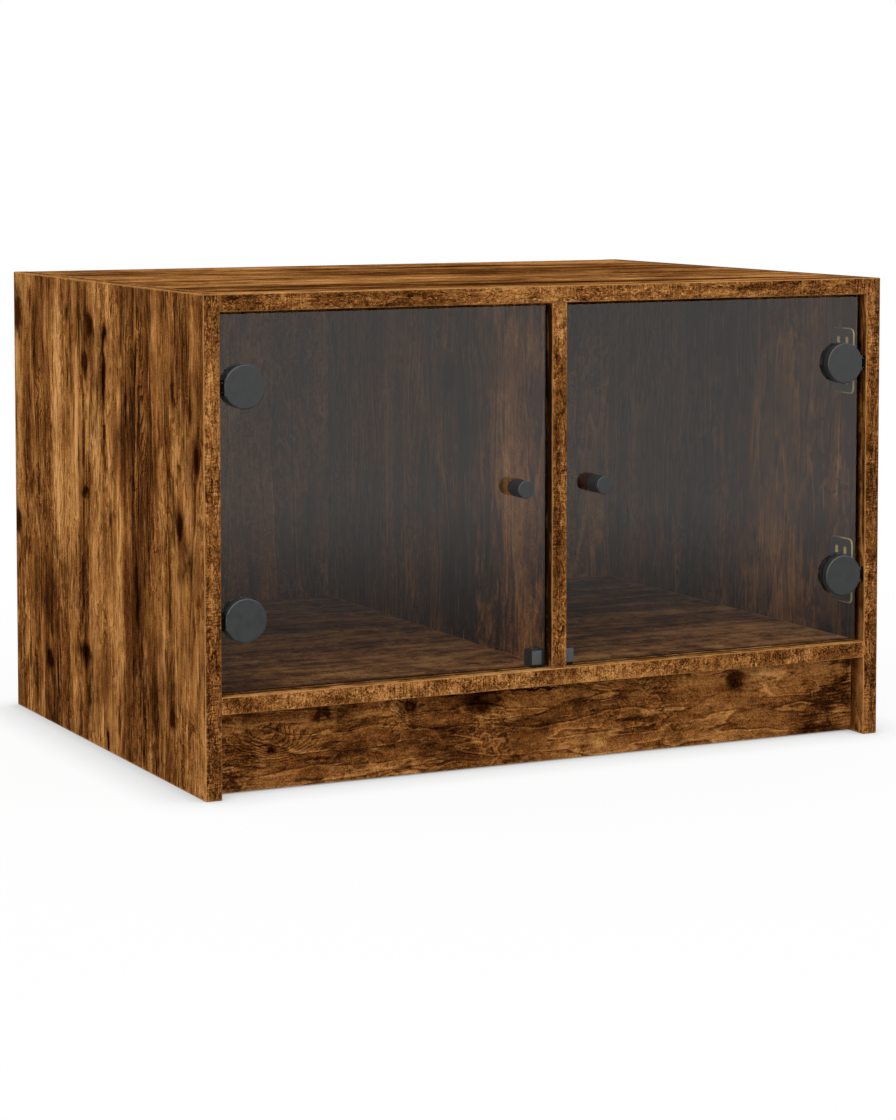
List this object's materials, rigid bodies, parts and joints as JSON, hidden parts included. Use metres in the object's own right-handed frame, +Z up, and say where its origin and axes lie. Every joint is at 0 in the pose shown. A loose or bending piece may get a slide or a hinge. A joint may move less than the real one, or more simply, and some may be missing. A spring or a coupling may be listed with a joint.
{
  "type": "display coffee table",
  "caption": "Low box-shaped coffee table of rustic brown board with a set-back plinth and inset smoked-glass doors on round black hinge caps, for display and storage.",
  "frame": {"origin": "on the floor, under the middle of the whole object's box, knobs included", "axes": "+X to the right seen from the front, along the width; +Y from the doors to the back; +Z up"},
  "size_m": [0.68, 0.511, 0.43],
  "materials": {
    "oak_board": "printed rustic oak decor with a fine grain, matt",
    "smoked_glass": "polished grey-tinted glass",
    "black_metal": "matt black powder coat",
    "hinge_plate": "dark plated metal, bright along its cut edges",
    "bright_steel": "nickel-plated",
    "grey_steel": "dull grey plating",
    "gasket": "soft black",
    "clear_plastic": "clear nylon",
    "black_plastic": "moulded, matt",
    "magnet": "dark sintered",
    "cast_zinc": "as cast",
    "dowel_wood": "plain beech"
  },
  "bodies": {
    "carcass": {"left_side_panel": "oak_board", "right_side_panel": "oak_board", "top_panel": "oak_board", "bottom_panel": "oak_board", "centre_divider": "oak_board", "front_plinth": "oak_board", "back_panel": "oak_board", "left_upper_hinge_plate": "hinge_plate", "left_lower_hinge_plate": "hinge_plate", "left_catch_housing": "black_plastic", "left_catch_magnet": "magnet", "right_upper_hinge_plate": "hinge_plate", "right_lower_hinge_plate": "hinge_plate", "right_catch_housing": "black_plastic", "right_catch_magnet": "magnet", "hinge_plate_screws": "bright_steel", "catch_screws": "bright_steel", "cam_locks": "cast_zinc", "cam_bolts": "bright_steel", "divider_screws": "bright_steel", "dowels": "dowel_wood"},
    "left_door": {"left_glass_door": "smoked_glass", "left_upper_hinge_cap": "black_metal", "left_upper_hinge_pin": "bright_steel", "left_upper_hinge_backing": "bright_steel", "left_lower_hinge_cap": "black_metal", "left_lower_hinge_pin": "bright_steel", "left_lower_hinge_backing": "bright_steel", "left_hinge_gaskets": "gasket", "left_hinge_clamp_screws": "bright_steel", "left_knob": "black_metal", "left_knob_bush": "clear_plastic", "left_knob_screw": "bright_steel", "left_strike_plate": "grey_steel"},
    "right_door": {"right_glass_door": "smoked_glass", "right_upper_hinge_cap": "black_metal", "right_upper_hinge_pin": "bright_steel", "right_upper_hinge_backing": "bright_steel", "right_lower_hinge_cap": "black_metal", "right_lower_hinge_pin": "bright_steel", "right_lower_hinge_backing": "bright_steel", "right_hinge_gaskets": "gasket", "right_hinge_clamp_screws": "bright_steel", "right_knob": "black_metal", "right_knob_bush": "clear_plastic", "right_knob_screw": "bright_steel", "right_strike_plate": "grey_steel"}
  },
  "joints": [
    {"name": "left_door_hinge", "type": "hinge", "parent": "carcass", "child": "left_door", "pos_m": [-0.3228, -0.2425, 0.2515], "axis": [0, 0, -1], "range_deg": [0, 95]},
    {"name": "right_door_hinge", "type": "hinge", "parent": "carcass", "child": "right_door", "pos_m": [0.3228, -0.2425, 0.2515], "axis": [0, 0, 1], "range_deg": [0, 95]}
  ]
}
